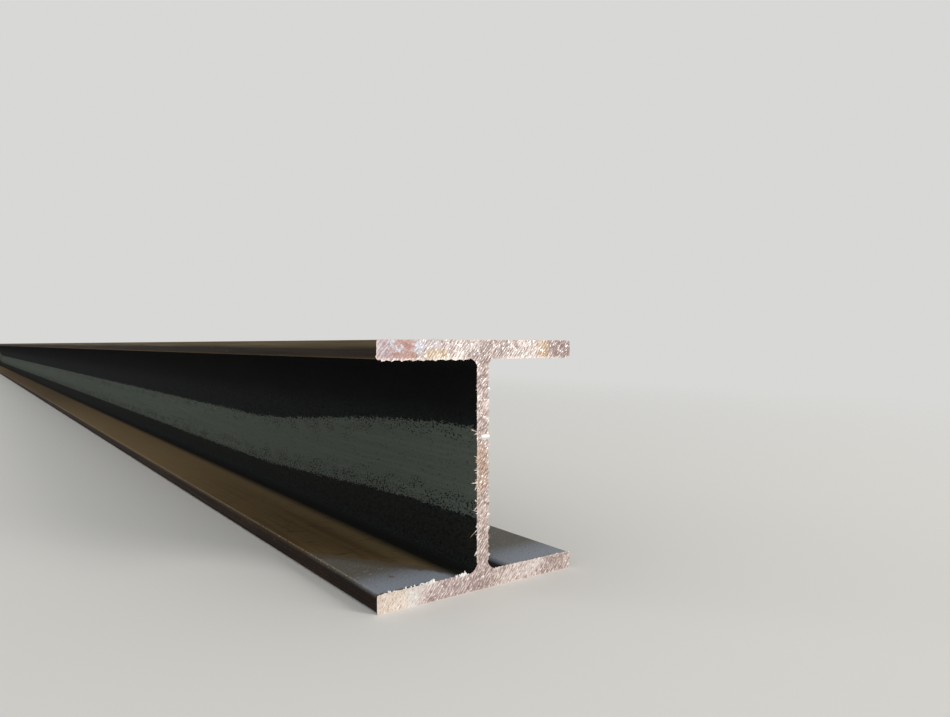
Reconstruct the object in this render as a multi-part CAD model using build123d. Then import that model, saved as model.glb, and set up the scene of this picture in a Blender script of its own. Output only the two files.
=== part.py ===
from build123d import *

import os

# One length of hot-rolled wide-flange steel beam, sawn square at both ends.
# It lies along Y on its bottom flange, with +Z up. The origin is under its middle, on the surface it lies on.
# All sizes are in millimetres.

# Driving dimensions: the 152 x 152 section that weighs 37 kg a metre, in a stock length
beam_length = 6000.0
section_depth = 161.8
flange_width = 154.4
web_thickness = 8.0
flange_thickness = 11.5

# The rolls leave a fillet where web and flange meet, and a rounded edge along each flange toe
root_radius = 7.6
toe_radius = 2.5


def rolled_section():
    """The cross section, drawn upright with its bottom edge's middle at the origin."""
    bottom_flange_middle = flange_thickness / 2
    top_flange_middle = section_depth - flange_thickness / 2
    with BuildSketch() as section:
        with Locations((0, bottom_flange_middle), (0, top_flange_middle)):
            Rectangle(flange_width, flange_thickness)
        with Locations((0, section_depth / 2)):
            Rectangle(web_thickness, section_depth - flange_thickness)

        # From left to right the corners stand in four columns: toes, web face, web face, toes
        columns = section.vertices().group_by(Axis.X)
        fillet(columns[1] + columns[2], root_radius)
        columns = section.vertices().group_by(Axis.X)
        fillet(columns[0] + columns[-1], toe_radius)
    return section.sketch


def make_i_beam():
    """The section run out to the beam's length, half of it to each side of the origin."""
    upright_section = Plane.XZ * rolled_section()
    return extrude(upright_section, amount=beam_length / 2, both=True)


os.makedirs("parts", exist_ok=True)
export_step(make_i_beam(), "parts/i_beam.step")
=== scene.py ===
# %% [markdown]
# # A sawn length of wide-flange steel beam
# A rolled beam is one piece of steel with two very different skins. Its long faces keep the oxide that
# formed while the steel was red hot, called mill scale, with rust where the scale has worn. Its ends are
# bare metal, torn and scored by the saw. The solid model gives the section and the length. This script adds
# the two skins: a fine mesh of the section with the saw's relief in it, the burrs that the saw left along
# its edges, and a material for each skin.

# %% Load the solid beam
import math

import bpy
import numpy as np
from mathutils.geometry import delaunay_2d_cdt
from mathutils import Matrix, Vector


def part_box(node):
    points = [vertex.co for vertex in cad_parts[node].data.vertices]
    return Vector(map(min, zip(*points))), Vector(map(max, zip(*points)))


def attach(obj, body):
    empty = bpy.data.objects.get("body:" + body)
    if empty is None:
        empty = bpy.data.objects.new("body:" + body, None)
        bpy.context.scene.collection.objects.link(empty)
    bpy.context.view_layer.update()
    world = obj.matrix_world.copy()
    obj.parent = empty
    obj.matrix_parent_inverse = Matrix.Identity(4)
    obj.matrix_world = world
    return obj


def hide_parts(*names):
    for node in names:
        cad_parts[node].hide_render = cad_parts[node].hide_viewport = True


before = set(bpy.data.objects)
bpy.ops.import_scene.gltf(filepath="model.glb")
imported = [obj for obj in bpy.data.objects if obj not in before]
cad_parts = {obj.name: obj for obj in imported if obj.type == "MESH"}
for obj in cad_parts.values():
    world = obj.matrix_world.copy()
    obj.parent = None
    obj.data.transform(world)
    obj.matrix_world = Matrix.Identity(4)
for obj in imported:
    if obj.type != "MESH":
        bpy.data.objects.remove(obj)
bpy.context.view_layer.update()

mm = 0.001
beam_low, beam_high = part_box("i_beam")
near_y = beam_low.y
far_y = beam_high.y
section_depth = beam_high.z - beam_low.z
flange_width = beam_high.x - beam_low.x
beam_length = far_y - near_y
print(f"section {flange_width / mm:.1f} x {section_depth / mm:.1f} mm, length {beam_length:.2f} m")

# %% [markdown]
# ## The camera
# The eye stands close to the sawn end, level with the top flange, and looks along the left side of the
# beam. Its place was worked out from the vanishing points of the beam's long edges and of its flange edges.
# Close up, a wide lens makes the far end shrink to a point, which is what makes the beam look long.

# %% Camera
picture_width_px = 950
focal_length_px = 715
sensor_width = 36.0
left_of_beam = 0.2764
before_sawn_end = 0.3706
eye_height = 0.1592
turned_right = math.radians(36.1)
tipped_down = math.radians(1.15)


def add_object(name, data):
    """Puts a camera, a lamp or a mesh into the scene."""
    made = bpy.data.objects.new(name, data)
    bpy.context.scene.collection.objects.link(made)
    return made


camera_data = bpy.data.cameras.new("close_wide_camera")
camera_data.sensor_width = sensor_width
camera_data.lens = focal_length_px / picture_width_px * sensor_width
camera_data.clip_start = 0.01
camera = add_object("close_wide_camera", camera_data)
camera.location = (-left_of_beam, near_y - before_sawn_end, eye_height)
camera.rotation_euler = (math.pi / 2 - tipped_down, 0, -turned_right)
bpy.context.scene.camera = camera
print(f"lens {camera_data.lens:.1f} mm on a {sensor_width:.0f} mm sensor")

# %% [markdown]
# ## Colours and nodes
# Colours are written as the sRGB hex values that a colour picker shows. Blender mixes light in linear
# values, so one function converts them. A second function adds a node to a tree, whether it makes a
# material or geometry, and sets its inputs.


# %% Colour and node helpers
def linear(hex_colour):
    """An sRGB colour such as "c8bfb9" as linear red, green, blue and alpha."""
    channels = [int(hex_colour[i : i + 2], 16) / 255 for i in (0, 2, 4)]
    return [c / 12.92 if c <= 0.04045 else ((c + 0.055) / 1.055) ** 2.4 for c in channels] + [1.0]


def set_inputs(tree, node, inputs):
    """Sets inputs, found by name or number, to a value, a hex colour, an output, or a node's first output."""
    for name, value in inputs.items():
        live = [s for s in node.inputs if s.enabled and s.name == name]
        socket = node.inputs[name] if isinstance(name, int) else live[0]
        if isinstance(value, bpy.types.Node):
            value = next(s for s in value.outputs if s.enabled)
        if isinstance(value, bpy.types.NodeSocket):
            tree.links.new(value, socket)
        elif isinstance(value, str) and socket.type == "RGBA":
            socket.default_value = linear(value)
        else:
            socket.default_value = value


def add_node(tree, kind, inputs=(), **settings):
    """One node, with its settings and inputs. A kind without Node in its name is a shader node."""
    node = tree.nodes.new(kind if "Node" in kind else "ShaderNode" + kind)
    for name, value in settings.items():
        setattr(node, name, value)
    set_inputs(tree, node, dict(inputs))
    return node


print("sawn steel's pale tone in linear light:", [round(c, 3) for c in linear("d9cfc9")[:3]])

# %% [markdown]
# ## Floor and backdrop
# The floor is pale and matt, and the world behind it has nearly the same tone. A floor with an edge would
# draw a hard line behind the beam at this low eye height. So the floor's material turns clear with the
# distance from the beam, and floor and backdrop become one surface. The shadow under the beam stays.

# %% Floor
floor_half_width = 30.0
fade_from = 0.2
fade_to = 2.2
backdrop_colour = "d8d8d6"


def object_axes(tree):
    """Outputs X, Y and Z: a place in metres along the object's own axes."""
    place = add_node(tree, "TexCoord").outputs["Object"]
    return add_node(tree, "SeparateXYZ", {0: place}).outputs


def new_material(name):
    """A material with its node tree and its main shader."""
    material = bpy.data.materials.new(name)
    material.use_nodes = True
    return material, material.node_tree, material.node_tree.nodes["Principled BSDF"]


floor_paint, tree, shader = new_material("matt_pale_floor")
set_inputs(tree, shader, {"Base Color": "eeedea", "Roughness": 0.9, "Specular IOR Level": 0.2})
split = object_axes(tree)
along = add_node(tree, "Math", {0: split["Y"]}, operation="ABSOLUTE")
past_end = add_node(tree, "Math", {0: along, 1: beam_length / 2}, operation="SUBTRACT")
past_end = add_node(tree, "Math", {0: past_end, 1: 0.0}, operation="MAXIMUM")
from_beam = add_node(tree, "CombineXYZ", {"X": split["X"], "Y": past_end})
from_beam = add_node(tree, "VectorMath", {0: from_beam}, operation="LENGTH").outputs["Value"]
fading = {"Value": from_beam, "From Min": fade_from, "From Max": fade_to}
faded = add_node(tree, "MapRange", fading, interpolation_type="SMOOTHSTEP")
clear = add_node(tree, "BsdfTransparent")
mixed = add_node(tree, "MixShader", {0: faded, 1: shader.outputs["BSDF"], 2: clear})
set_inputs(tree, tree.nodes["Material Output"], {"Surface": mixed})

floor_mesh = bpy.data.meshes.new("pale_floor")
corners = [(x * floor_half_width, y * floor_half_width, 0) for x, y in [(-1, -1), (1, -1), (1, 1), (-1, 1)]]
floor_mesh.from_pydata(corners, [], [(0, 1, 2, 3)])
floor_mesh.materials.append(floor_paint)
floor = add_object("pale_floor", floor_mesh)
print("floor", floor_half_width * 2, "m square, clear from", fade_to, "m beside the beam")

# %% [markdown]
# ## Light
# The key lamp is a tall, narrow soft box in front, 32 degrees to the right of the beam's line. The sawn end
# mirrors it over its whole height, and the web's edge throws a slanting shadow over the bottom flange. A
# weak lamp far along on the left is what the scale on the web mirrors. The world has two strengths: one
# that is seen directly and in reflections, and a lower one that lights matt surfaces.


# %% Lamps
def soft_lamp(name, place, target, width, height, power, hex_colour):
    """A rectangular area lamp that faces a target."""
    data = bpy.data.lights.new(name, "AREA")
    data.shape = "RECTANGLE"
    data.size = width
    data.size_y = height
    data.energy = power
    data.color = linear(hex_colour)[:3]
    lamp = add_object(name, data)
    lamp.location = place
    lamp.rotation_euler = (target - lamp.location).to_track_quat("-Z", "Y").to_euler()


sawn_end_middle = (beam_low + beam_high) / 2
sawn_end_middle.y = near_y
key = {"width": 1.1, "height": 3.4, "power": 136, "hex_colour": "fffaf5"}
sheen = {"width": 1.6, "height": 1.6, "power": 22, "hex_colour": "eef6ff"}
soft_lamp("key_front_right", (2.4, near_y - 3.9, 1.72), sawn_end_middle, **key)
soft_lamp("sheen_far_left", (-3.4, near_y + 4.2, 1.7), sawn_end_middle, **sheen)

# %% World
matt_light_strength = 0.8
world = bpy.data.worlds.new("soft_studio")
world.use_nodes = True
tree = world.node_tree
ray = add_node(tree, "LightPath").outputs
seen = ray["Is Camera Ray"]
for kind in ("Is Glossy Ray", "Is Transmission Ray"):
    seen = add_node(tree, "Math", {0: seen, 1: ray[kind]}, operation="ADD", use_clamp=True)
lighting, backdrop = [
    add_node(tree, "Background", {"Color": backdrop_colour, "Strength": strength})
    for strength in (matt_light_strength, 1.0)
]
chosen = add_node(tree, "MixShader", {0: seen, 1: lighting, 2: backdrop})
set_inputs(tree, tree.nodes["World Output"], {"Surface": chosen})
bpy.context.scene.world = world
bpy.context.scene.view_settings.view_transform = "Standard"
print("backdrop", backdrop_colour, "lights matt surfaces at", matt_light_strength)

# %% [markdown]
# ## The section's outline
# The mesh starts from a ring of points round the section: straight runs, a small arc on each flange toe and
# a larger, inward one where web and flange meet. The points lie close together, because the ring also
# carries the ragged lip that the saw left. Each point keeps its outward direction, and its distance round
# the ring, so that relief and burrs can follow the outline.

# %% Outline of the section
web_thickness = 8.0 * mm
flange_thickness = 11.5 * mm
root_radius = 7.6 * mm
toe_radius = 2.5 * mm
ring_step = 0.7 * mm
arc_step = 0.5 * mm

half_flange = flange_width / 2
half_depth = section_depth / 2
half_web = web_thickness / 2
under_top_flange = section_depth - flange_thickness
right_corners = [
    (half_flange, 0, toe_radius),
    (half_flange, flange_thickness, toe_radius),
    (half_web, flange_thickness, root_radius),
    (half_web, under_top_flange, root_radius),
    (half_flange, under_top_flange, toe_radius),
    (half_flange, section_depth, toe_radius),
]
left_corners = [(-x, z, radius) for x, z, radius in reversed(right_corners)]


def rounded_ring(corners):
    """Points, outward directions and distances round an outline of square corners, run anticlockwise."""
    places = [np.array(corner[:2]) for corner in corners]
    radii = [corner[2] for corner in corners]
    count = len(corners)
    points, outward = [], []
    for k in range(count):
        before = places[k] - places[k - 1]
        after = places[(k + 1) % count] - places[k]
        way_in = before / np.linalg.norm(before)
        way_out = after / np.linalg.norm(after)
        bulge = np.sign(way_in[0] * way_out[1] - way_in[1] * way_out[0])
        centre = places[k] + radii[k] * (way_out - way_in)
        arc_steps = math.ceil(radii[k] * math.pi / 2 / arc_step)
        for angle in np.linspace(0, math.pi / 2, arc_steps + 1):
            spoke = -math.cos(angle) * way_out + math.sin(angle) * way_in
            points.append(centre + radii[k] * spoke)
            outward.append(bulge * spoke)
        straight = np.linalg.norm(after) - radii[k] - radii[(k + 1) % count]
        normal = np.array([way_out[1], -way_out[0]])
        run_steps = math.ceil(straight / ring_step)
        for share in np.arange(1, run_steps) / run_steps:
            points.append(places[k] + way_out * (radii[k] + share * straight))
            outward.append(normal)
    points, outward = np.array(points), np.array(outward)
    steps = np.linalg.norm(np.roll(points, -1, axis=0) - points, axis=1)
    return points, outward, np.concatenate([[0], np.cumsum(steps)])


ring, ring_outward, ring_distance = rounded_ring(right_corners + left_corners)
ring_count = len(ring)
perimeter = ring_distance[-1]
print(f"{ring_count} points round a perimeter of {perimeter / mm:.0f} mm")

# %% [markdown]
# ## The saw's relief
# A band saw cuts the whole section in one slanting stroke. Every tooth leaves a score line, so the end is
# covered with fine parallel ridges, broken up where the metal tore. The relief is a height for each point
# of the face, made of three parts: the score lines, shorter torn flecks along them, and a slow wander of
# the blade. The left ends of the flanges were rubbed nearly smooth, up to a slanting step. Near mid height
# a small bright nub stands on the web, where the cut paused.


# %% Random but repeatable heights
def wander(u, v, seed):
    """Smooth random heights from -1 to 1 over a plane whose hills are one unit apart."""
    size = 251
    lattice = np.random.default_rng(seed).uniform(-1, 1, (size, size))
    column, row = np.floor(u).astype(int), np.floor(v).astype(int)
    across, along = u - column, v - row
    across = across * across * (3 - 2 * across)
    along = along * along * (3 - 2 * along)
    left, right = column % size, (column + 1) % size
    low, high = row % size, (row + 1) % size
    near = lattice[left, low] * (1 - across) + lattice[right, low] * across
    above = lattice[left, high] * (1 - across) + lattice[right, high] * across
    return near * (1 - along) + above * along


# %% Score lines on the sawn end
score_angle = math.radians(51)
score_pitch = 1.7 * mm
score_depth = 0.17 * mm
blade_drift = 0.45
line_share = 0.75
fleck_share = 0.65
slow_share = 0.5
scored_range = 2.6
rubbed_from_toe = 29 * mm
rubbed_slant = 0.5
rubbed_sharpness = 0.22
rubbed_step = 0.9
step_width = 1.2 * mm
nub_height = 98.8 * mm
nub_thickness = 0.65 * mm
nub_proud = 0.5 * mm


def saw_relief(points, seed):
    """How far points of a sawn end stand proud, and how much of a ridge each is, from 0 in a groove to 1."""
    x, z = points[:, 0], points[:, 1]
    along = x * math.cos(score_angle) + z * math.sin(score_angle)
    across = z * math.cos(score_angle) - x * math.sin(score_angle)

    def hills(along_mm, across_mm, seed):
        return wander(along / (along_mm * mm), across / (across_mm * mm), seed)

    lines = np.sin(2 * math.pi * (across / score_pitch + blade_drift * hills(22, 9, seed)))
    broken = 0.5 + 0.5 * hills(4.5, 1.5, seed + 1)
    flecks = hills(2.6, 0.8, seed + 2)
    slow = hills(40, 14, seed + 3)
    lean = (z % under_top_flange) * rubbed_slant
    past_rubbed = np.clip((x + half_flange - rubbed_from_toe - lean) / step_width, 0, 1)
    on_flange = np.abs(z - half_depth) > half_depth - flange_thickness
    sharp = np.where(on_flange, rubbed_sharpness + (1 - rubbed_sharpness) * past_rubbed, 1.0)
    step = np.where(on_flange, rubbed_step * (past_rubbed - 1), 0)
    scored = sharp * (line_share * lines * broken + fleck_share * flecks) + slow_share * slow
    nub_across = np.clip((x + 1.0 * mm) / (0.4 * mm), 0, 1)
    nub = nub_across * np.exp(-(((z - nub_height) / nub_thickness) ** 2))
    return score_depth * (scored + step) + nub_proud * nub, np.clip(0.5 + scored / scored_range, 0, 1)


print(f"score lines {score_pitch / mm} mm apart, {score_depth / mm} mm deep")

# %% [markdown]
# ## A net over the sawn end
# The end is flat, so the net is drawn in two dimensions. Points are set out along the score lines, closer
# together across them than along them, and a constrained Delaunay triangulation joins them to the outline.

# %% Net of triangles inside the outline
net_along = 1.0 * mm
net_across = 0.36 * mm
net_margin = 0.3 * mm
inside_outline = 1
joined_within = 1e-7


def inside_section(x, z, margin):
    """Which points lie in the section, a margin or more from its edge."""
    from_middle = np.abs(z - half_depth)
    flange_inner = half_depth - flange_thickness
    in_flange = (from_middle > flange_inner + margin) & (from_middle < half_depth - margin)
    in_flange &= np.abs(x) < half_flange - margin
    toe_x = np.abs(x) - (half_flange - toe_radius)
    toe_z = np.abs(from_middle - (section_depth - flange_thickness) / 2) - (flange_thickness / 2 - toe_radius)
    in_flange &= ~((toe_x > 0) & (toe_z > 0) & (np.hypot(toe_x, toe_z) > toe_radius - margin))
    in_web = (np.abs(x) < half_web - margin) & (from_middle < flange_inner + margin)
    root_x = half_web + root_radius - np.abs(x)
    root_z = from_middle - (flange_inner - root_radius)
    in_root = (root_x > 0) & (root_z > 0) & (from_middle <= flange_inner + margin)
    in_root &= np.hypot(root_x, root_z) > root_radius + margin
    return in_flange | in_web | in_root


def face_net():
    """Inner points of a sawn end, and triangles over the ring's points followed by the inner ones."""
    reach = math.hypot(flange_width, section_depth)
    rng = np.random.default_rng(seed=11)
    along, across = np.meshgrid(np.arange(-reach, reach, net_along), np.arange(-reach, reach, net_across))
    along = along + rng.uniform(-0.3, 0.3, along.shape) * net_along
    across = across + rng.uniform(-0.2, 0.2, across.shape) * net_across
    x = (along * math.cos(score_angle) - across * math.sin(score_angle)).ravel()
    z = (along * math.sin(score_angle) + across * math.cos(score_angle)).ravel()
    keep = inside_section(x, z, net_margin)
    inner = np.stack([x[keep], z[keep]], 1)
    points = [tuple(p) for p in ring] + [tuple(p) for p in inner]
    outline = [list(range(ring_count))]
    net = delaunay_2d_cdt(points, [], outline, inside_outline, joined_within)
    triangles, source = net[2], [s[0] for s in net[3]]
    return inner, np.array([[source[i] for i in triangle] for triangle in triangles])


inner_points, net_triangles = face_net()
inner_count = len(inner_points)
end_points = np.concatenate([ring, inner_points])
print(f"{inner_count} inner points, {len(net_triangles)} triangles on each sawn end")

# %% [markdown]
# ## The ragged lip
# Where the saw breaks out of the steel it drags a little metal over the edge. It looks like the edge of a
# leaf: sharp points with shallow arches between them. How far apart they stand depends on the edge: 7 mm on
# the right of the web and under the left of the top flange, 4 mm under its right, and none in the root
# fillets. The lip is part of the beam, so it pushes the first rows of the mesh behind each end outward.

# %% Edges of a sawn end
on_line = 0.1 * mm
ring_x, ring_z = ring[:, 0], ring[:, 1]
flat_of_flange = np.abs(ring_x) < half_flange - toe_radius
straight_of_web = (np.abs(ring_x) < half_web + on_line) & (ring_z > flange_thickness)
straight_of_web &= ring_z < under_top_flange
runs = {
    "under top flange": flat_of_flange & (np.abs(ring_z - under_top_flange) < on_line),
    "over bottom flange": flat_of_flange & (np.abs(ring_z - flange_thickness) < on_line),
    "web": straight_of_web,
}
sawn_edges = {"top": flat_of_flange & (ring_z > section_depth - on_line)}
for name, run in runs.items():
    sawn_edges[name + ", left"] = run & (ring_x < 0)
    sawn_edges[name + ", right"] = run & (ring_x > 0)
low_corner = np.abs(ring_z - under_top_flange) < toe_radius
sawn_edges["corner under top flange"] = (ring_x < -half_flange + toe_radius) & low_corner
other_toes = (np.abs(ring_x) > half_flange - toe_radius) & ~sawn_edges["corner under top flange"]
print({name: int(points.sum()) for name, points in sawn_edges.items()})

# %% Lip along the sawn edges
lip_length = 0.9 * mm
corner_fill = 0.7
tooth_sharpness = 2.2
small_teeth_per_tooth = 2.3
small_tooth_share = 0.25
# In mm: how far apart the teeth stand, how far the whole edge flares, the teeth's reach and the waves'.
lip_teeth = {
    "top": (2.8, 0.05, 0.3, 0.1),
    "under top flange, left": (7.2, 0.45, 1.15, 0.3),
    "under top flange, right": (4.1, 0.25, 0.9, 0.3),
    "over bottom flange, left": (3.4, 0.1, 0.6, 0.3),
    "over bottom flange, right": (3.4, 0.1, 0.6, 0.3),
    "web, left": (2.1, 0.3, 0.4, 0.2),
    "web, right": (6.9, 0.2, 2.1, 0.3),
    "corner under top flange": (3.0, 0.5, 0.3, 0.2),
}


def ring_hills(size_mm, row, seed):
    """Smooth random heights from -1 to 1 at each point of the ring, with hills of a real size."""
    distance = ring_distance[:-1]
    return wander(distance / (size_mm * mm), distance * 0 + row, seed)


def lip(seed):
    """How far the sawn edge is dragged outward at each point of the ring."""
    drag = np.zeros(ring_count)
    uneven = 0.72 + 0.28 * ring_hills(3.7, 7.3, seed + 1)
    wave = 0.5 + 0.5 * ring_hills(6.5, 3.1, seed + 2)
    for name, (pitch_mm, flare_mm, tooth_mm, wave_mm) in lip_teeth.items():
        place = ring_distance[:-1] / (pitch_mm * mm) + 0.35 * ring_hills(9, 0, seed)
        tooth = np.abs((place % 1) * 2 - 1) ** tooth_sharpness
        small_tooth = np.abs((place * small_teeth_per_tooth % 1) * 2 - 1) ** 2
        teeth = tooth_mm * (tooth * uneven + small_tooth_share * small_tooth)
        drag += sawn_edges[name] * (flare_mm + teeth + wave_mm * wave) * mm
    to_square_corner = toe_radius * (1 / np.abs(ring_outward).max(1) - 1)
    return drag + other_toes * corner_fill * to_square_corner


near_lip = lip(seed=21)
far_lip = lip(seed=31)
print(f"lip up to {near_lip.max() / mm:.2f} mm")

# %% [markdown]
# ## The whole beam as one mesh
# Rings are set along the length, close together near the ends, where the lip needs them, and far apart
# between. They are joined by four-sided faces, and each end is closed by its net of triangles. The edge
# between a net and the skin is marked sharp, so that bright end and dark side meet in a crisp line.

# %% Rings along the beam
from_each_end = np.array([0, 0.3, 0.7, 1.2, 2.2, 5, 20, 60, 160, 380, 800, 1500, 2300]) * mm
ring_places = np.concatenate([from_each_end, beam_length - from_each_end[::-1]])
row_count = len(ring_places)
near_heights, near_ridges = saw_relief(end_points, seed=41)
far_heights, far_ridges = saw_relief(end_points, seed=51)


def beam_vertices():
    """Rows of ring points from the near end to the far one, then the inner points of both ends."""
    rows = []
    for place in ring_places:
        near_drag = near_lip * math.exp(-place / lip_length)
        far_drag = far_lip * math.exp(-(beam_length - place) / lip_length)
        spread = ring + ring_outward * (near_drag + far_drag)[:, None]
        rows.append(np.stack([spread[:, 0], np.full(ring_count, near_y + place), spread[:, 1]], 1))
    rows[0][:, 1] -= near_heights[:ring_count]
    rows[-1][:, 1] += far_heights[:ring_count]
    inner_x, inner_z = inner_points.T
    rows.append(np.stack([inner_x, near_y - near_heights[ring_count:], inner_z], 1))
    rows.append(np.stack([inner_x, far_y + far_heights[ring_count:], inner_z], 1))
    return np.concatenate(rows)


last_row = (row_count - 1) * ring_count
near_inner = row_count * ring_count
far_inner = near_inner + inner_count
this = np.arange(ring_count)
after = (this + 1) % ring_count
start = (np.arange(row_count - 1) * ring_count)[:, None]
next_start = start + ring_count
skin_faces = np.stack([start + this, next_start + this, next_start + after, start + after], 2).reshape(-1, 4)
on_ring = net_triangles < ring_count
near_faces = net_triangles + np.where(on_ring, 0, near_inner - ring_count)
far_faces = (net_triangles + np.where(on_ring, last_row, far_inner - ring_count))[:, ::-1]

# %% The beam's mesh
beam_mesh = bpy.data.meshes.new("rolled_beam")
faces = skin_faces.tolist() + near_faces.tolist() + far_faces.tolist()
beam_mesh.from_pydata(beam_vertices().tolist(), [], faces)
beam = add_object("rolled_beam", beam_mesh)
face_count = len(beam_mesh.polygons)
beam_mesh.polygons.foreach_set("use_smooth", np.ones(face_count, bool))
beam_mesh.polygons.foreach_set("material_index", (np.arange(face_count) >= len(skin_faces)).astype(np.int32))

edge_ends = np.zeros(len(beam_mesh.edges) * 2, np.int32)
beam_mesh.edges.foreach_get("vertices", edge_ends)
edge_ends = edge_ends.reshape(-1, 2)
on_near_ring = (edge_ends < ring_count).all(1)
on_far_ring = ((edge_ends >= last_row) & (edge_ends < last_row + ring_count)).all(1)
neighbours = np.isin(np.abs(edge_ends[:, 0] - edge_ends[:, 1]), (1, ring_count - 1))
sharp_edges = beam_mesh.attributes.new("sharp_edge", "BOOLEAN", "EDGE")
sharp_edges.data.foreach_set("value", (on_near_ring | on_far_ring) & neighbours)
triangle_count = 2 * len(skin_faces) + 2 * len(net_triangles)
print(f"rolled_beam: {len(beam_mesh.vertices)} vertices, {triangle_count} triangles")

# %% [markdown]
# ## Values that the finishes follow
# Some finishes belong to a place on the section, such as the rust on the toes. They are easiest to steer by
# a value on each vertex: how much a point belongs to the web, to the painted shade of the root beside it,
# to a toe, to the painted highlight along a toe's arris, and to a flange's outer face. The sawn ends store
# how high their relief is, because ridges are lighter and grooves darker, partly from film and wear and
# partly as painted light and shade of the relief, and how near their rim is, which carries a painted
# highlight.


# %% Weights for web, root, toes, outer faces, ridges and rim
root_shadow = 25 * mm
rim_width = 0.6 * mm


def store_weight(name, round_ring, near_end, far_end):
    """Stores a value on each vertex: round the ring, the same all along, and on each sawn end."""
    values = np.concatenate([np.tile(round_ring, row_count), near_end, far_end])
    stored = beam_mesh.attributes.new(name, "FLOAT", "POINT")
    stored.data.foreach_set("value", values.astype(np.float32))


outer_skin = 0.3 * mm
# The arris weight carries a painted highlight along the rounded edge of each toe.
arris_inset = 0.45 * mm
arris_reach = 0.8 * mm
faint_arris = 0.4
faint_rim = 0.3
from_flange = np.minimum(ring_z - flange_thickness, under_top_flange - ring_z)
into_toe = np.abs(ring_x) - (half_flange - toe_radius)
skin_weights = {
    "web": np.clip(from_flange / (0.4 * root_radius), 0, 1) * (np.abs(ring_x) < half_web + root_radius),
    # The root weight is painted shade: it darkens each flange's inner face near the web, fading out between
    # 16 and 25 mm from the middle.
    "root": np.clip((root_shadow - np.abs(ring_x)) / (0.36 * root_shadow), 0, 1) * (from_flange > -on_line),
    "toe": np.clip((into_toe - 0.2 * toe_radius) / (0.8 * toe_radius), 0, 1),
    "arris": np.clip(1 - np.abs(into_toe - arris_inset) / arris_reach, 0, 1),
    "outer": np.abs(ring_z - half_depth) > half_depth - outer_skin,
}
under_top_toes = (ring_z > half_depth) & (ring_z < under_top_flange + toe_radius)
skin_weights["arris"][under_top_toes] *= faint_arris
for name, weight in skin_weights.items():
    store_weight(name, weight, np.zeros(inner_count), np.zeros(inner_count))
end_x, end_z = end_points.T
# The rim carries a painted highlight along the sawn edges. It is strongest under the top flange and at the
# left ends of the flanges.
rim = 1.0 - inside_section(end_x, end_z, rim_width)
strong_rim = (np.abs(end_z - under_top_flange) < 1.5 * mm) | (end_x < -half_flange + rim_width)
rim *= np.where(strong_rim, 1.0, faint_rim)
store_weight("ridge", near_ridges[:ring_count], near_ridges[ring_count:], far_ridges[ring_count:])
store_weight("rim", rim[:ring_count], rim[ring_count:], rim[ring_count:])
print("stored:", *skin_weights, "ridge", "rim")

# %% [markdown]
# ## A flat map
# The exported model carries its colours in a square picture, and a map says where each face lies in it. A
# beam is a poor shape for that: forty times as long as it is wide. So the skin is unrolled into one sheet,
# and its length is squeezed by a logarithm, which leaves the ends sharp and the plain middle coarse. The
# sawn ends get a strip for each flange and for the web.

# %% Map of the skin and the sawn ends
map_size = 1024
skin_share = 0.79
squeeze_length = 0.25
near_end_share = 0.7


def squeezed(place):
    """A length from one end, which counts for less and less with the distance."""
    return np.log1p(place / squeeze_length)


from_near = squeezed(ring_places)
from_far = squeezed(beam_length) - squeezed(beam_length - ring_places)
map_u = (near_end_share * from_near + (1 - near_end_share) * from_far) / squeezed(beam_length)
map_v = ring_distance / perimeter * skin_share
row_u = np.stack([map_u[:-1], map_u[1:], map_u[1:], map_u[:-1]], 1)
corner_v = np.stack([map_v[:-1], map_v[:-1], map_v[1:], map_v[1:]], 1)
skin_map = np.zeros((row_count - 1, ring_count, 4, 2))
skin_map[..., 0] = row_u[:, None, :]
skin_map[..., 1] = corner_v[None, :, :]


def strip_map(triangles, pixels_per_mm, strip_corners):
    """Places in the map for a sawn end's triangles, in strips for top flange, bottom flange and web."""
    points = end_points[triangles] / mm
    middle_z = points[:, :, 1].mean(1)
    x = points[..., 0] + half_flange / mm
    z = points[..., 1]
    web_edge = (half_flange - half_web - root_radius) / mm
    placed = np.zeros(points.shape)
    in_top = middle_z > under_top_flange / mm
    in_bottom = middle_z < flange_thickness / mm
    strips = [
        (in_top, x, z - under_top_flange / mm),
        (in_bottom, x, z),
        (~in_top & ~in_bottom, z - flange_thickness / mm, x - web_edge),
    ]
    for (inside, sideways, upward), (left, low) in zip(strips, strip_corners):
        placed[inside, :, 0] = (left + sideways[inside] * pixels_per_mm) / map_size
        placed[inside, :, 1] = (low + upward[inside] * pixels_per_mm) / map_size
    return placed


# The low left corners of the strips for top flange, bottom flange and web, in pixels of the map.
near_strips = [(8, 822), (8, 874), (8, 926)]
far_strips = [(608, 822), (608, 874), (564, 926)]
near_map = strip_map(net_triangles, pixels_per_mm=3.8, strip_corners=near_strips)
far_map = strip_map(net_triangles[:, ::-1], pixels_per_mm=2.6, strip_corners=far_strips)
map_layer = beam_mesh.uv_layers.new(name="OFBake")
whole_map = np.concatenate([skin_map.reshape(-1, 2), near_map.reshape(-1, 2), far_map.reshape(-1, 2)])
map_layer.data.foreach_set("uv", whole_map.ravel())
print("map runs from", whole_map.min(0).round(3), "to", whole_map.max(0).round(3))

# %% [markdown]
# ## Patterns
# Both finishes are built from the same few patterns: a noise whose hills have a real size in millimetres
# along each axis, a soft zone between two places on an axis, and a ragged patch. Layers of colour or of
# roughness are then laid over each other, each where its pattern says so.


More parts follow.
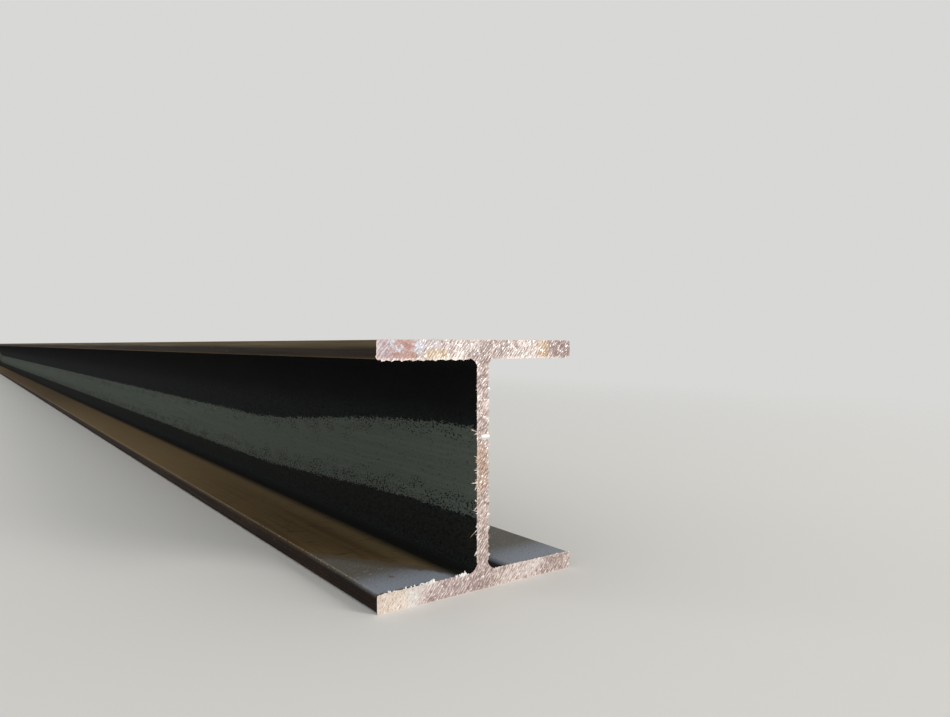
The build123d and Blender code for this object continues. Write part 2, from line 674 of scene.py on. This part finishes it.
# %% Pattern helpers
def marks(tree, size_mm, low, high, turned=(0, 0, 0), moved=0.0, detail=3.0):
    """Noise with hills of a real size along each axis: 0 below the low level, 1 above the high one."""
    place = add_node(tree, "TexCoord").outputs["Object"]
    turn = add_node(tree, "Mapping", {"Vector": place, "Rotation": turned})
    fitted = {"Vector": turn, "Location": (moved, 0, moved), "Scale": [1 / (size * mm) for size in size_mm]}
    sized = add_node(tree, "Mapping", fitted)
    noise = {"Vector": sized, "Scale": 1, "Detail": detail, "Roughness": 0.6}
    noise = add_node(tree, "TexNoise", noise)
    levels = {"Value": noise, "From Min": low, "From Max": high}
    return add_node(tree, "MapRange", levels, interpolation_type="SMOOTHSTEP")


def zone(tree, along, start_mm, end_mm, both_sides=False):
    """0 at the start and 1 at the end, along an axis, or both ways from its zero, or along a given length."""
    if isinstance(along, str):
        along = object_axes(tree)[along]
    if both_sides:
        along = add_node(tree, "Math", {0: along}, operation="ABSOLUTE")
    levels = {"Value": along, "From Min": start_mm * mm, "From Max": end_mm * mm}
    return add_node(tree, "MapRange", levels, interpolation_type="SMOOTHSTEP")


def sum_of(tree, total, *terms):
    """The first value, plus each of the others times its factor."""
    for value, factor in terms:
        term = {0: value, 1: factor, 2: total}
        total = add_node(tree, "Math", term, operation="MULTIPLY_ADD")
    return total


def patch(tree, middle_mm, reach_mm):
    """A ragged patch of a real size round a point: 1 in its middle, 0 outside."""
    place = add_node(tree, "TexCoord").outputs["Object"]
    fitted = {"Vector": place, "Location": [m * mm for m in middle_mm], "Scale": [r * mm for r in reach_mm]}
    local = add_node(tree, "Mapping", fitted, vector_type="TEXTURE")
    radius = add_node(tree, "VectorMath", {0: local}, operation="LENGTH").outputs["Value"]
    uneven = marks(tree, [min(reach / 3, 5) for reach in reach_mm], 0.2, 0.8, moved=middle_mm[0])
    ragged = sum_of(tree, radius, (uneven, 0.9))
    levels = {"Value": ragged, "From Min": 1.65, "From Max": 1.15}
    return add_node(tree, "MapRange", levels, interpolation_type="SMOOTHSTEP")


def product(tree, result, *factors):
    """Values multiplied. A product of weights is high only where every one of them is high."""
    for factor in factors:
        result = add_node(tree, "Math", {0: result, 1: factor}, operation="MULTIPLY")
    return result


def layered(tree, ground, layers, data_type="RGBA"):
    """The ground with each layer laid over it by its weight, or where all of its weights are high."""
    for weight, over in layers:
        weight = product(tree, *weight) if isinstance(weight, tuple) else weight
        mixing = {"Factor": weight, "A": ground, "B": over}
        ground = add_node(tree, "Mix", mixing, data_type=data_type)
    return ground


print("pattern helpers ready")

# %% [markdown]
# ## Mill scale
# Hot steel grows a thin blue-black oxide as it leaves the rolls. It is an oxide and not bare metal, so it
# is shaded as a dielectric: dark, and fairly smooth where it is whole. Along the middle of the web it is
# whole and smoother, in a band that dips as it leaves the sawn end. Its grey-green colour is a painted
# sheen, lighter away from the end. Pits crowd its edges, and above and below it the scale is dull and
# dark. In the roots the scale is dull, and each flange beside the web is painted nearly black, as is the
# web toward the top flange: painted shade. The flanges are khaki inside, with faint streaks from the rolls
# and scratches from handling, and mottled grey and brown outside. The khaki is painted lighter away from
# the ends, as painted light, and darker again toward the middle of the beam. A strip of painted light runs
# beside the root's painted shade. On each flange's end lies a wedge of painted light, slate grey, reaching
# in slantwise past the web's sawn edge, and the toes are brown with rust. The scale's real grain is a few
# tenths of a millimetre. It is drawn about one millimetre across, which is as coarse as it needs to be to
# show.

# %% Mill scale: where it lies
scale_finish, tree, shader = new_material("hot_rolled_mill_scale")
on_web, in_root, on_toe, on_arris, on_outer = [
    add_node(tree, "Attribute", attribute_name=name).outputs["Fac"] for name in skin_weights
]
split = object_axes(tree)
dip = zone(tree, "Y", 2990, 2550, both_sides=True)
speckle = marks(tree, (1.1, 2.4, 1.1), 0.3, 0.7, moved=3.1, detail=1.0)
clusters = marks(tree, (9, 26, 9), 0.3, 0.7, moved=6.3)
specks = marks(tree, (1.1, 2.4, 1.1), 0.68, 0.73, moved=5.1, detail=1.0)
pitted = marks(tree, (1.2, 2.6, 1.2), 0.3, 0.7, moved=8.3, detail=1.0)
pitted = sum_of(tree, pitted, (clusters, 0.4))
borders = []
for dip_mm, outer_mm, border_mm, inner_mm, crowded in [(14, 41, 52, 68, 0.36), (25, 111, 99, 88, 0.22)]:
    level = sum_of(tree, split["Z"], (dip, dip_mm * mm))
    borders.append(zone(tree, level, outer_mm, border_mm))
    pitted = sum_of(tree, pitted, (zone(tree, level, inner_mm, border_mm), crowded))
pits = add_node(tree, "MapRange", {"Value": pitted, "From Min": 1.26, "From Max": 1.36})
pits = add_node(tree, "Math", {0: pits, 1: specks}, operation="MAXIMUM")
band = sum_of(tree, product(tree, *borders), (speckle, 0.36), (clusters, 0.2))
band = add_node(tree, "MapRange", {"Value": band, "From Min": 0.72, "From Max": 0.84})
# The band's whole, smoother scale. Its grey-green colour in the web's paint below is a painted sheen.
whole_scale_and_sheen = product(tree, band, on_web, sum_of(tree, 1.0, (pits, -1.0)))
# Below 96 mm the web gets a speckled haze. Above that it fades back by 122 mm to the near-black ground, which
# is painted shade under the top flange.
haze_above = product(tree, zone(tree, "Z", 122, 96), speckle)
haze_below = product(tree, zone(tree, "Z", 14, 28), zone(tree, "Z", 48, 34), speckle)

# %% Mill scale: painted light on the end of a flange
# A wedge of painted light on each flange's end, where a lamp in front and to the right would reach past the
# web's sawn edge. It is painted slate grey, and bluer near the saw.
painted_light_slant = math.tan(math.radians(33))
painted_light_start = half_web + root_radius
further_on_right = 30 * mm
raggedness = 4 * mm
sideways = add_node(tree, "Math", {0: split["X"]}, operation="ABSOLUTE")
along = add_node(tree, "Math", {0: split["Y"]}, operation="ABSOLUTE")
on_right = add_node(tree, "Math", {0: split["X"], 1: 0.0}, operation="GREATER_THAN")
uneven = marks(tree, (5, 9, 5), 0.3, 0.7, moved=8.1)
reached = sum_of(tree, sideways, (along, painted_light_slant), (on_right, further_on_right), (uneven, raggedness))
limit_mm = (painted_light_start + beam_length / 2 * painted_light_slant) / mm
painted_light_wedge = product(tree, zone(tree, reached, limit_mm - 8, limit_mm - 1), zone(tree, "Z", 60, 20))
painted_light_slate = product(tree, zone(tree, reached, limit_mm + 2, limit_mm + 11), painted_light_wedge)
near_saw = product(tree, painted_light_slate, zone(tree, "Y", 2955, 2992, both_sides=True))
toes_painted_light_mm = (half_flange - painted_light_start) / painted_light_slant / mm
# The wedge of painted light reaches this far in from each end at the toes.
print(f"painted light reaches {toes_painted_light_mm:.0f} mm in from each end at the toes")

# %% Mill scale: marks on it
streaks = marks(tree, (2.4, 170, 2.4), 0.38, 0.68, moved=1.3)
blotches = marks(tree, (17, 70, 17), 0.42, 0.66, moved=5.7)
grain = marks(tree, (0.9, 1.3, 0.9), 0.4, 0.62, moved=9.2, detail=1.0)
flecks = marks(tree, (0.9, 2.6, 0.9), 0.64, 0.68, moved=2.2)
handled = marks(tree, (30, 30, 30), 0.46, 0.54, moved=3.3)
handled = product(tree, handled, zone(tree, "Y", 2500, 2860, both_sides=True))
scratches = marks(tree, (20, 1.0, 20), 0.63, 0.67, turned=(0, 0, math.radians(11)), moved=2.9, detail=1.0)
scratches = product(tree, scratches, handled)
# Painted light: the khaki flange and the web's painted sheen are painted lighter away from each end. mid_beam
# makes the khaki darker again toward the middle of the beam.
past_end = zone(tree, "Y", 2900, 2300, both_sides=True)
# Painted light: the flange is painted lighter within 40 mm of the middle. The root's painted shade covers the
# inner part, which leaves a lit strip beside it.
painted_light_beside_root = zone(tree, "X", 40, 29, both_sides=True)
mid_beam = zone(tree, "Y", 1900, 900, both_sides=True)
upper_toe = zone(tree, "Z", 120, 150)
toe_top = zone(tree, "Z", 155.5, 159.5)
# Painted shadow: a thin dark line on the bottom flange just behind the flakes on its sawn edge.
painted_shadow_behind_flakes = product(tree, zone(tree, "X", -33, -38), zone(tree, "Z", 30, 14))
painted_shadow_behind_flakes = product(tree, painted_shadow_behind_flakes, zone(tree, "Y", 2997.2, 2998.4, both_sides=True))
painted_shadow_behind_flakes = product(tree, painted_shadow_behind_flakes, marks(tree, (3, 3, 3), 0.3, 0.5, moved=7.4))
rust = marks(tree, (11, 26, 11), 0.64, 0.70, moved=7.9)
fine_rust = product(tree, marks(tree, (1.6, 3, 1.6), 0.52, 0.62, moved=4.4), rust)
rust_spot = patch(tree, (-54, near_y / mm + 25, 11.5), (2.6, 2.0, 3))
rust_spot = product(tree, rust_spot, marks(tree, (1.2, 1.2, 1.2), 0.35, 0.6, moved=6.6))
print("mill scale's marks:", len(tree.nodes), "nodes so far")

# %% Mill scale: colour
web_colour = layered(tree, "08090b", [
    (blotches, "0b0d0f"),
    (haze_above, "212524"),
    (haze_below, "201f18"),
    # Painted sheen: the band's grey-green, lighter still away from each end.
    (whole_scale_and_sheen, "4e544e"),
    ((whole_scale_and_sheen, past_end), "666e65"),
    ((whole_scale_and_sheen, streaks), "5a615a"),
    ((whole_scale_and_sheen, grain), "565c55"),
])
flange_colour = layered(tree, "5f4b2c", [
    (blotches, "544227"),
    (streaks, "655334"),
    (painted_light_beside_root, "736243"),
    # Painted light, lighter away from each end. The next layer makes it darker again toward the middle.
    (past_end, "8a7350"),
    (mid_beam, "705c40"),
    (scratches, "2c2418"),
    (on_outer, "4c4a48"),
    ((on_outer, clusters), "56504a"),
    ((on_outer, clusters, grain), "62564b"),
    ((on_outer, rust, grain), "6e5340"),
    # Painted light: the slanting wedge on the flange's end, slate grey and bluer near the saw.
    (painted_light_wedge, "5e5649"),
    (painted_light_slate, "615d54"),
    ((painted_light_slate, grain), "6c6961"),
    (near_saw, "8b939f"),
    ((near_saw, grain), "989fab"),
    (flecks, "2c2619"),
    ((painted_light_slate, specks), "9b9d9e"),
    (fine_rust, "70452a"),
    (rust_spot, "6d4938"),
    # Painted shadow behind the flakes.
    (painted_shadow_behind_flakes, "33261d"),
    # Painted shade beside the web's roots.
    (in_root, "0d0c09"),
])
toe_colour = layered(tree, "1e1007", [
    (blotches, "170d06"),
    ((grain, streaks), "45311f"),
    (upper_toe, "20180f"),
    ((upper_toe, streaks), "2f251a"),
    (toe_top, "5d5039"),
    ((toe_top, streaks), "6f6148"),
    (fine_rust, "6b4024"),
])
surface_colour = layered(tree, flange_colour, [
    (on_web, web_colour),
    (on_toe, toe_colour),
    # A painted highlight along each toe's arris.
    ((on_arris, grain), "b3a68f"),
])

# %% Mill scale: roughness and relief
web_roughness = layered(tree, 0.7, [(whole_scale_and_sheen, 0.30)], "FLOAT")
flange_roughness = layered(tree, 0.86, [(streaks, 0.8), (painted_light_wedge, 0.6)], "FLOAT")
over_flange = [(on_web, web_roughness), (in_root, 1.0), (on_toe, 0.8)]
surface_roughness = layered(tree, flange_roughness, over_flange, "FLOAT")
relief = sum_of(tree, grain, (whole_scale_and_sheen, 1.2), (flecks, -0.6))
bump = add_node(tree, "Bump", {"Height": relief, "Distance": 0.05 * mm, "Strength": 0.7})
looks = {"Base Color": surface_colour, "Roughness": surface_roughness, "Normal": bump}
set_inputs(tree, shader, looks | {"Specular IOR Level": 0.17})
beam_mesh.materials.append(scale_finish)
print("mill scale:", len(tree.nodes), "nodes")

# %% [markdown]
# ## Sawn steel
# The ends are bare steel under thin films: flash rust in pink and brown, temper colours in gold and purple
# where the saw ran hot, and a pale blue bloom. A film scatters light as paint does, so the shader mixes
# both natures. Ridges are mostly metal, and grooves are rough and mostly film. Ridges are lighter and
# grooves darker, partly from film and wear and partly as painted light and shade of the relief, and the
# glints are painted highlights.
# Finer, shorter scratches than the mesh can carry run along the same slant, and a few cross it.

# %% Band-sawn steel: marks
sawn_finish, tree, shader = new_material("band_sawn_steel")
ridges = add_node(tree, "Attribute", attribute_name="ridge").outputs["Fac"]
rims = add_node(tree, "Attribute", attribute_name="rim").outputs["Fac"]
slant = (0, score_angle, 0)
steeper = (0, score_angle + math.radians(14), 0)
scratches = marks(tree, (5.4, 8, 0.75), 0.40, 0.62, turned=slant, detail=2.0)
grooves = marks(tree, (3.2, 8, 0.75), 0.54, 0.62, turned=steeper, moved=5.3, detail=2.0)
glints = marks(tree, (3.4, 8, 0.75), 0.56, 0.63, turned=slant, moved=3.7, detail=2.0)
film = marks(tree, (13, 13, 9), 0.40, 0.66, moved=6.1)
mottled = marks(tree, (1.8, 8, 1.8), 0.40, 0.60, moved=4.9)
# Lighter ridges and darker grooves: partly film and wear, partly painted light and shade of the score relief.
low_ground = add_node(tree, "MapRange", {"Value": ridges, "From Min": 0.5, "From Max": 0.1})
high_ground = add_node(tree, "MapRange", {"Value": ridges, "From Min": 0.5, "From Max": 0.9})
# Painted highlight along the rim of each sawn end.
painted_rim_highlight = product(tree, rims, marks(tree, (1.6, 8, 1.6), 0.38, 0.62, moved=1.7))
on_top_flange = zone(tree, "Z", 149, 152)
print("sawn steel's marks:", len(tree.nodes), "nodes so far")

# %% Band-sawn steel: stains
endless_mm = 1e6


def stain(tree, x, z, reach_x, reach_z, *weights):
    """A ragged patch on both sawn ends, in mm, and only where the other weights are high."""
    return product(tree, patch(tree, (x, 0, z), (reach_x, endless_mm, reach_z)), *weights)


on_nub = stain(tree, 2.2, nub_height / mm, 4.4, 1.6)
rubbed_top = product(tree, zone(tree, "X", -50.3, -51.3), zone(tree, "Z", 149.5, 151))
rubbed_lilac = stain(tree, -73, 155, 7, 11)
rubbed_brown = product(tree, rubbed_top, marks(tree, (7, 8, 4), 0.46, 0.60, moved=8.8))
rubbed_specks = product(tree, rubbed_top, marks(tree, (1.3, 8, 0.9), 0.50, 0.62, turned=slant, moved=6.9))
rubbed_strokes = marks(tree, (4.6, 8, 1.3), 0.46, 0.58, turned=slant, moved=1.2)
top_blooms = [(-66.5, 160.2, 2.6, 2.4), (-62, 156.8, 3.6, 2.8), (-48, 157.5, 3.4, 4)]
top_blooms = [(stain(tree, *place_and_reach, mottled), "d6dde9") for place_and_reach in top_blooms]
bottom_bloom = stain(tree, -53, 6, 5, 8, mottled)
bottom_cream = stain(tree, -70, 6, 17, 11)
bottom_purple = stain(tree, -22, 5, 26, 9)
gold = stain(tree, 53, 156, 7, 7)
purple = stain(tree, 68, 155, 11, 8)
fine_lilac = stain(tree, -41, 158, 11, 7)
fine_gold = stain(tree, -35, 152.5, 11, 4)
web_tan = stain(tree, -1, 78, 5, 18)
unrubbed = sum_of(tree, 1.0, (rubbed_top, -1.0))
glints = product(tree, glints, unrubbed)
scored = sum_of(tree, unrubbed, (bottom_cream, -0.6), (fine_lilac, -0.5))

# %% Band-sawn steel: colour, metal, roughness and relief
metal_colour = layered(tree, "c9b7b0", [
    (on_top_flange, "aaa2a1"),
    (film, "b6a19c"),
    (scratches, "d8cbc6"),
    (rubbed_top, "b8958e"),
    (rubbed_brown, "ad7f72"),
    (rubbed_lilac, "a9959c"),
    (rubbed_specks, "cdb4b0"),
    ((rubbed_lilac, rubbed_strokes), "d9ced1"),
    (bottom_cream, "e8dacc"),
    ((bottom_cream, grooves), "c8ab8f"),
    (bottom_purple, "baa5a5"),
    (fine_lilac, "cdc5c9"),
    (fine_gold, "d0bb9d"),
    (gold, "c6ab86"),
    (purple, "a48f91"),
    (web_tan, "cfb198"),
    ((low_ground, scored), "9a837c"),
    ((low_ground, scratches, scored), "836a63"),
    ((grooves, scored), "8b736e"),
    (high_ground, "efe7e2"),
    *top_blooms,
    (bottom_bloom, "e0e1df"),
    # Painted highlights: the glints' near-white colour.
    (glints, "fffcf9"),
    (painted_rim_highlight, "f4e3da"),
    # The nub's near-white colour is partly a painted highlight of its glint.
    (on_nub, "f3eee8"),
])
metal_roughness = layered(tree, 0.60, [
    (rubbed_top, 0.55),
    (low_ground, 0.70),
    (high_ground, 0.50),
    (glints, 0.42),
    (on_nub, 0.35),
], "FLOAT")
bare_metal = layered(tree, 0.40, [
    (rubbed_top, 0.15),
    (bottom_cream, 0.15),
    (low_ground, 0.25),
    (high_ground, 0.60),
    (glints, 0.65),
    (bottom_bloom, 0.1),
], "FLOAT")
relief = sum_of(tree, scratches, (glints, 1.0))
bump = add_node(tree, "Bump", {"Height": relief, "Distance": 0.06 * mm, "Strength": 0.8})
looks = {"Base Color": metal_colour, "Roughness": metal_roughness, "Normal": bump}
set_inputs(tree, shader, looks | {"Metallic": bare_metal})
beam_mesh.materials.append(sawn_finish)
print("sawn steel:", len(tree.nodes), "nodes")

# %% [markdown]
# ## Burrs
# Besides the lip, the saw leaves loose slivers that stand off the edge: thorns on the left of the web,
# flakes and a curl on top of the bottom flange, small teeth under the top one. There are about a hundred on
# each end, all much alike, so Geometry Nodes grow them. The edge is given as a line of points that say how
# large a burr may grow there. The tree sets points along the line, drops the ones that stay small, and puts
# a straight or a hooked thorn, or one of two crumpled flakes, on each.


# %% Thorn and flake shapes
def sliver(tree, middle, end, sides):
    """A tapered rod along a curve from the origin: one unit thick at its foot and about one unit long."""
    bent = {"Resolution": 5, "Start": (0, 0, 0), "Middle": middle, "End": end}
    spine = add_node(tree, "GeometryNodeCurveQuadraticBezier", bent)
    along = add_node(tree, "GeometryNodeSplineParameter").outputs["Factor"]
    taper = add_node(tree, "MapRange", {"Value": along, "To Min": 1.0, "To Max": 0.1})
    outline = add_node(tree, "GeometryNodeCurvePrimitiveCircle", {"Resolution": sides, "Radius": 0.5})
    rod = {"Curve": spine, "Profile Curve": outline, "Scale": taper, "Fill Caps": True}
    return add_node(tree, "GeometryNodeCurveToMesh", rod)


def flake(tree, moved):
    """A crumpled ball one unit across, with its foot at the origin. Its instances are squashed flat."""
    ball = add_node(tree, "GeometryNodeMeshIcoSphere", {"Radius": 0.5, "Subdivisions": 2})
    place = add_node(tree, "GeometryNodeInputPosition")
    shifted = add_node(tree, "VectorMath", {0: place, 1: (moved, 0, 0)}, operation="ADD")
    noise = {"Vector": shifted, "Scale": 2.4, "Detail": 1.0}
    noise = add_node(tree, "TexNoise", noise).outputs["Color"]
    centred = add_node(tree, "VectorMath", {0: noise, 1: (0.5, 0.5, 0.3)}, operation="SUBTRACT")
    crumple = add_node(tree, "VectorMath", {0: centred, "Scale": 1.5}, operation="SCALE")
    return add_node(tree, "GeometryNodeSetPosition", {"Geometry": ball.outputs["Mesh"], "Offset": crumple})


# %% Burr tree
least_thorn_luck = 0.1
flake_luck = 0.76
rarity = 3.0
straighter_flakes = 0.3
less_twisted_flakes = 0.85
thickness_share = 0.45


def burr_tree():
    """A tree that grows burrs along lines whose points carry outward, growth, breadth and flaky."""
    tree = bpy.data.node_groups.new("burr_fringe", "GeometryNodeTree")
    sockets = {"Edge": "Geometry", "Spacing": "Float", "Longest": "Float", "Widest": "Float", "Lean": "Float",
               "Least growth": "Float", "Seed": "Int", "Finish": "Material"}
    for name, kind in sockets.items():
        tree.interface.new_socket(name=name, in_out="INPUT", socket_type="NodeSocket" + kind)
    tree.interface.new_socket(name="Burrs", in_out="OUTPUT", socket_type="NodeSocketGeometry")
    given = add_node(tree, "NodeGroupInput").outputs
    seeds = [sum_of(tree, given["Seed"], (step, 1.0)) for step in (1.0, 2.0, 3.0)]
    line = add_node(tree, "GeometryNodeMeshToCurve", {"Mesh": given["Edge"]})
    spaced = {"Curve": line, "Length": given["Spacing"]}
    points = add_node(tree, "GeometryNodeCurveToPoints", spaced, mode="LENGTH")
    growth, breadth, flaky, grown = [
        add_node(tree, "GeometryNodeInputNamedAttribute", {"Name": name})
        for name in ("growth", "breadth", "flaky", "grown")
    ]
    outward = add_node(tree, "GeometryNodeInputNamedAttribute", {"Name": "outward"}, data_type="FLOAT_VECTOR")

    least_luck = sum_of(tree, least_thorn_luck, (flaky, flake_luck))
    luck = add_node(tree, "FunctionNodeRandomValue", {"Min": least_luck, "Max": 1.0, "Seed": given["Seed"]})
    luck = add_node(tree, "Math", {0: luck, 1: rarity}, operation="POWER")
    size = product(tree, growth, luck)
    size_kept = {"Geometry": points, "Name": "grown", "Value": size}
    size_kept = add_node(tree, "GeometryNodeStoreNamedAttribute", size_kept)
    too_small = {"A": size, "B": given["Least growth"]}
    too_small = add_node(tree, "FunctionNodeCompare", too_small, operation="LESS_THAN")
    kept = add_node(tree, "GeometryNodeDeleteGeometry", {"Geometry": size_kept, "Selection": too_small})

    any_way = {"Min": (-1, -0.6, -1.3), "Max": (1, 0.5, 0.8), "Seed": seeds[0]}
    lean_way = add_node(tree, "FunctionNodeRandomValue", any_way, data_type="FLOAT_VECTOR")
    lean = {0: lean_way, "Scale": sum_of(tree, given["Lean"], (flaky, -straighter_flakes))}
    lean = add_node(tree, "VectorMath", lean, operation="SCALE")
    pointing = add_node(tree, "VectorMath", {0: outward, 1: lean}, operation="ADD")
    stands = add_node(tree, "FunctionNodeAlignRotationToVector", {"Vector": pointing}, axis="Z")
    way_round = add_node(tree, "FunctionNodeRandomValue", {"Min": -1.0, "Max": 1.0, "Seed": seeds[1]})
    most_twist = sum_of(tree, math.pi, (flaky, -less_twisted_flakes * math.pi))
    twist = product(tree, most_twist, way_round)
    twisted = add_node(tree, "FunctionNodeAxisAngleToRotation", {"Axis": (0, 0, 1), "Angle": twist})
    turned = {"Rotation": stands, "Rotate By": twisted}
    turned = add_node(tree, "FunctionNodeRotateRotation", turned, rotation_space="LOCAL")

    length = product(tree, grown, given["Longest"])
    width = product(tree, breadth, given["Widest"])
    thickness = product(tree, given["Widest"], thickness_share)
    size = add_node(tree, "CombineXYZ", {"X": width, "Y": thickness, "Z": length})

    straight = sliver(tree, middle=(0.1, 0.2, 0.5), end=(0.0, 0.5, 1.0), sides=5)
    hooked = sliver(tree, middle=(0.2, -0.4, 0.9), end=(0.5, 1.6, 0.8), sides=5)
    shapes = add_node(tree, "GeometryNodeGeometryToInstance")
    for shape in (flake(tree, moved=7.0), flake(tree, moved=2.0), hooked, straight):
        tree.links.new(shape.outputs[0], shapes.inputs[0])
    which = {"Min": 0, "Max": 1, "Seed": seeds[2]}
    which = add_node(tree, "FunctionNodeRandomValue", which, data_type="INT")
    which = sum_of(tree, which, (flaky, 2.0))
    placing = {"Points": kept, "Instance": shapes, "Pick Instance": True, "Instance Index": which,
               "Rotation": turned, "Scale": size}
    burrs = add_node(tree, "GeometryNodeInstanceOnPoints", placing)
    real = add_node(tree, "GeometryNodeRealizeInstances", {"Geometry": burrs})
    finished = add_node(tree, "GeometryNodeSetMaterial", {"Geometry": real, "Material": given["Finish"]})
    add_node(tree, "NodeGroupOutput", {"Burrs": finished})
    return tree


burr_fringe = burr_tree()
print("burr tree:", len(burr_fringe.nodes), "nodes")

# %% [markdown]
# ## Torn slivers' finish
# A burr is the same steel, torn thin and bright. It is shaded white and only slightly metallic, and its
# white is a painted highlight that stands in for the glint of the torn metal. Along the web, where the saw
# ran hottest, it is tanned.

# %% Torn steel
burr_finish, tree, shader = new_material("torn_steel_sliver")
tan = product(tree, marks(tree, (2.2, 2.2, 2.2), 0.36, 0.56, moved=1.9), zone(tree, "Z", 18, 22))
# The white is a painted highlight for the torn metal's glint.
burr_colour = layered(tree, "ffffff", [(tan, "d6b9a3")])
burr_roughness = layered(tree, 0.4, [(tan, 0.5)], "FLOAT")
set_inputs(tree, shader, {"Base Color": burr_colour, "Roughness": burr_roughness, "Metallic": 0.1})
print("torn steel:", len(tree.nodes), "nodes")

# %% Where burrs grow
# Each stretch of an edge has its start and end in mm, how large burrs grow there, and how broad they are.
# Thorns grow up the web, flakes across a flange.
near_stretches = {
    "web, left": [
        (76, 90, 0.80, 1.1),
        (64, 74, 1.05, 1.2),
        (46, 57, 1.5, 1.1),
        (33, 43, 1.6, 0.9),
        (101, 103, 0.9, 0.7),
        (22, 29, 0.85, 0.9),
        (110, 140, 0.2, 0.6),
    ],
    "over bottom flange, left": [
        (-69.5, -67.9, 0.32, 1.2),
        (-65.8, -64.8, 0.26, 0.9),
        (-58.4, -56.8, 0.40, 1.0),
        (-54.2, -53.3, 0.30, 0.8),
        (-52.3, -50.8, 0.34, 0.9),
        (-48.2, -47.3, 0.34, 0.9),
        (-45.9, -44.4, 0.38, 1.2),
        (-42.4, -40.6, 0.34, 2.4),
        (-40.4, -38.4, 0.62, 2.6),
        (-38.2, -36.6, 0.85, 1.9),
        (-21.2, -19.8, 0.38, 1.2),
        (-18.4, -16.2, 0.32, 2.4),
        (-16, -13.8, 0.55, 2.5),
        (-13.6, -12.6, 1.1, 1.2),
    ],
}
far_stretches = {
    "web, left": [(84, 118, 0.6, 0.9)],
    "web, right": [(30, 52, 0.5, 0.9)],
    "over bottom flange, right": [(18, 27, 0.8, 2.6)],
    "over bottom flange, left": [(-60, -44, 0.5, 1.4)],
}
into_steel = 0.35 * mm
behind_face = 0.2 * mm
past_face = 0.15


def edge_lines(name, place_y, out_of_face, dragged, stretches, seed):
    """Lines of points along a sawn end's edges, set a little into the steel, with what a burr may become."""
    points, edges, outward, growth, breadth, flaky = [], [], [], [], [], []
    small_growth = 0.12 + 0.1 * ring_hills(5, 0, seed)
    for edge, on_edge in sawn_edges.items():
        indices = np.flatnonzero(on_edge)
        up_web = edge.startswith("web")
        along_edge = (ring_z if up_web else ring_x)[indices]
        grown, broad, flakes = small_growth[indices], np.full(len(indices), 0.8), np.zeros(len(indices))
        for low, high, stretch_growth, stretch_breadth in stretches.get(edge, []):
            inside = (along_edge > low * mm) & (along_edge < high * mm)
            grown[inside], broad[inside], flakes[inside] = stretch_growth, stretch_breadth, not up_web
        edges += [(len(points) + i, len(points) + i + 1) for i in range(len(indices) - 1)]
        places = ring[indices] + ring_outward[indices] * (dragged[indices] - into_steel)[:, None]
        points += [(x, place_y - out_of_face * behind_face, z) for x, z in places]
        outward += [(x, out_of_face * past_face, z) for x, z in ring_outward[indices]]
        growth += list(grown)
        breadth += list(broad)
        flaky += list(flakes)
    mesh = bpy.data.meshes.new(name)
    mesh.from_pydata(points, edges, [])
    for value_name, values in {"growth": growth, "breadth": breadth, "flaky": flaky}.items():
        mesh.attributes.new(value_name, "FLOAT", "POINT").data.foreach_set("value", values)
    mesh.attributes.new("outward", "FLOAT_VECTOR", "POINT").data.foreach_set("vector", np.ravel(outward))
    return mesh


# %% Grow the burrs
def grow_burrs(name, lines, seed):
    """Runs the tree on the lines, and keeps the result as a plain mesh."""
    grower = add_object(name + "_lines", lines)
    modifier = grower.modifiers.new("burr_fringe", "NODES")
    modifier.node_group = burr_fringe
    sizes = {"Spacing": 0.8 * mm, "Longest": 5.0 * mm, "Widest": 1.2 * mm, "Lean": 0.8, "Least growth": 0.13,
             "Seed": seed, "Finish": burr_finish}
    for socket in burr_fringe.interface.items_tree:
        if socket.in_out == "INPUT" and socket.name in sizes:
            modifier[socket.identifier] = sizes[socket.name]
    graph = bpy.context.evaluated_depsgraph_get()
    mesh = bpy.data.meshes.new_from_object(grower.evaluated_get(graph), depsgraph=graph)
    mesh.name = name
    grower.modifiers.clear()
    bpy.data.objects.remove(grower)
    for attribute in ("growth", "breadth", "flaky", "outward", "grown"):
        mesh.attributes.remove(mesh.attributes[attribute])
    burrs = add_object(name, mesh)
    print(f"{name}: {len(mesh.polygons)} faces")
    return burrs


near_lines = edge_lines("near_lines", near_y, -1, near_lip, near_stretches, seed=61)
far_lines = edge_lines("far_lines", far_y, 1, far_lip, far_stretches, seed=71)
near_burrs = grow_burrs("near_saw_burrs", near_lines, seed=5)
far_burrs = grow_burrs("far_saw_burrs", far_lines, seed=6)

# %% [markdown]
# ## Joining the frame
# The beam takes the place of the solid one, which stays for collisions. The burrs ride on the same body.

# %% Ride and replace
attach(beam, "root")
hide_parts("i_beam")
for burrs in (near_burrs, far_burrs):
    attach(burrs, "root")
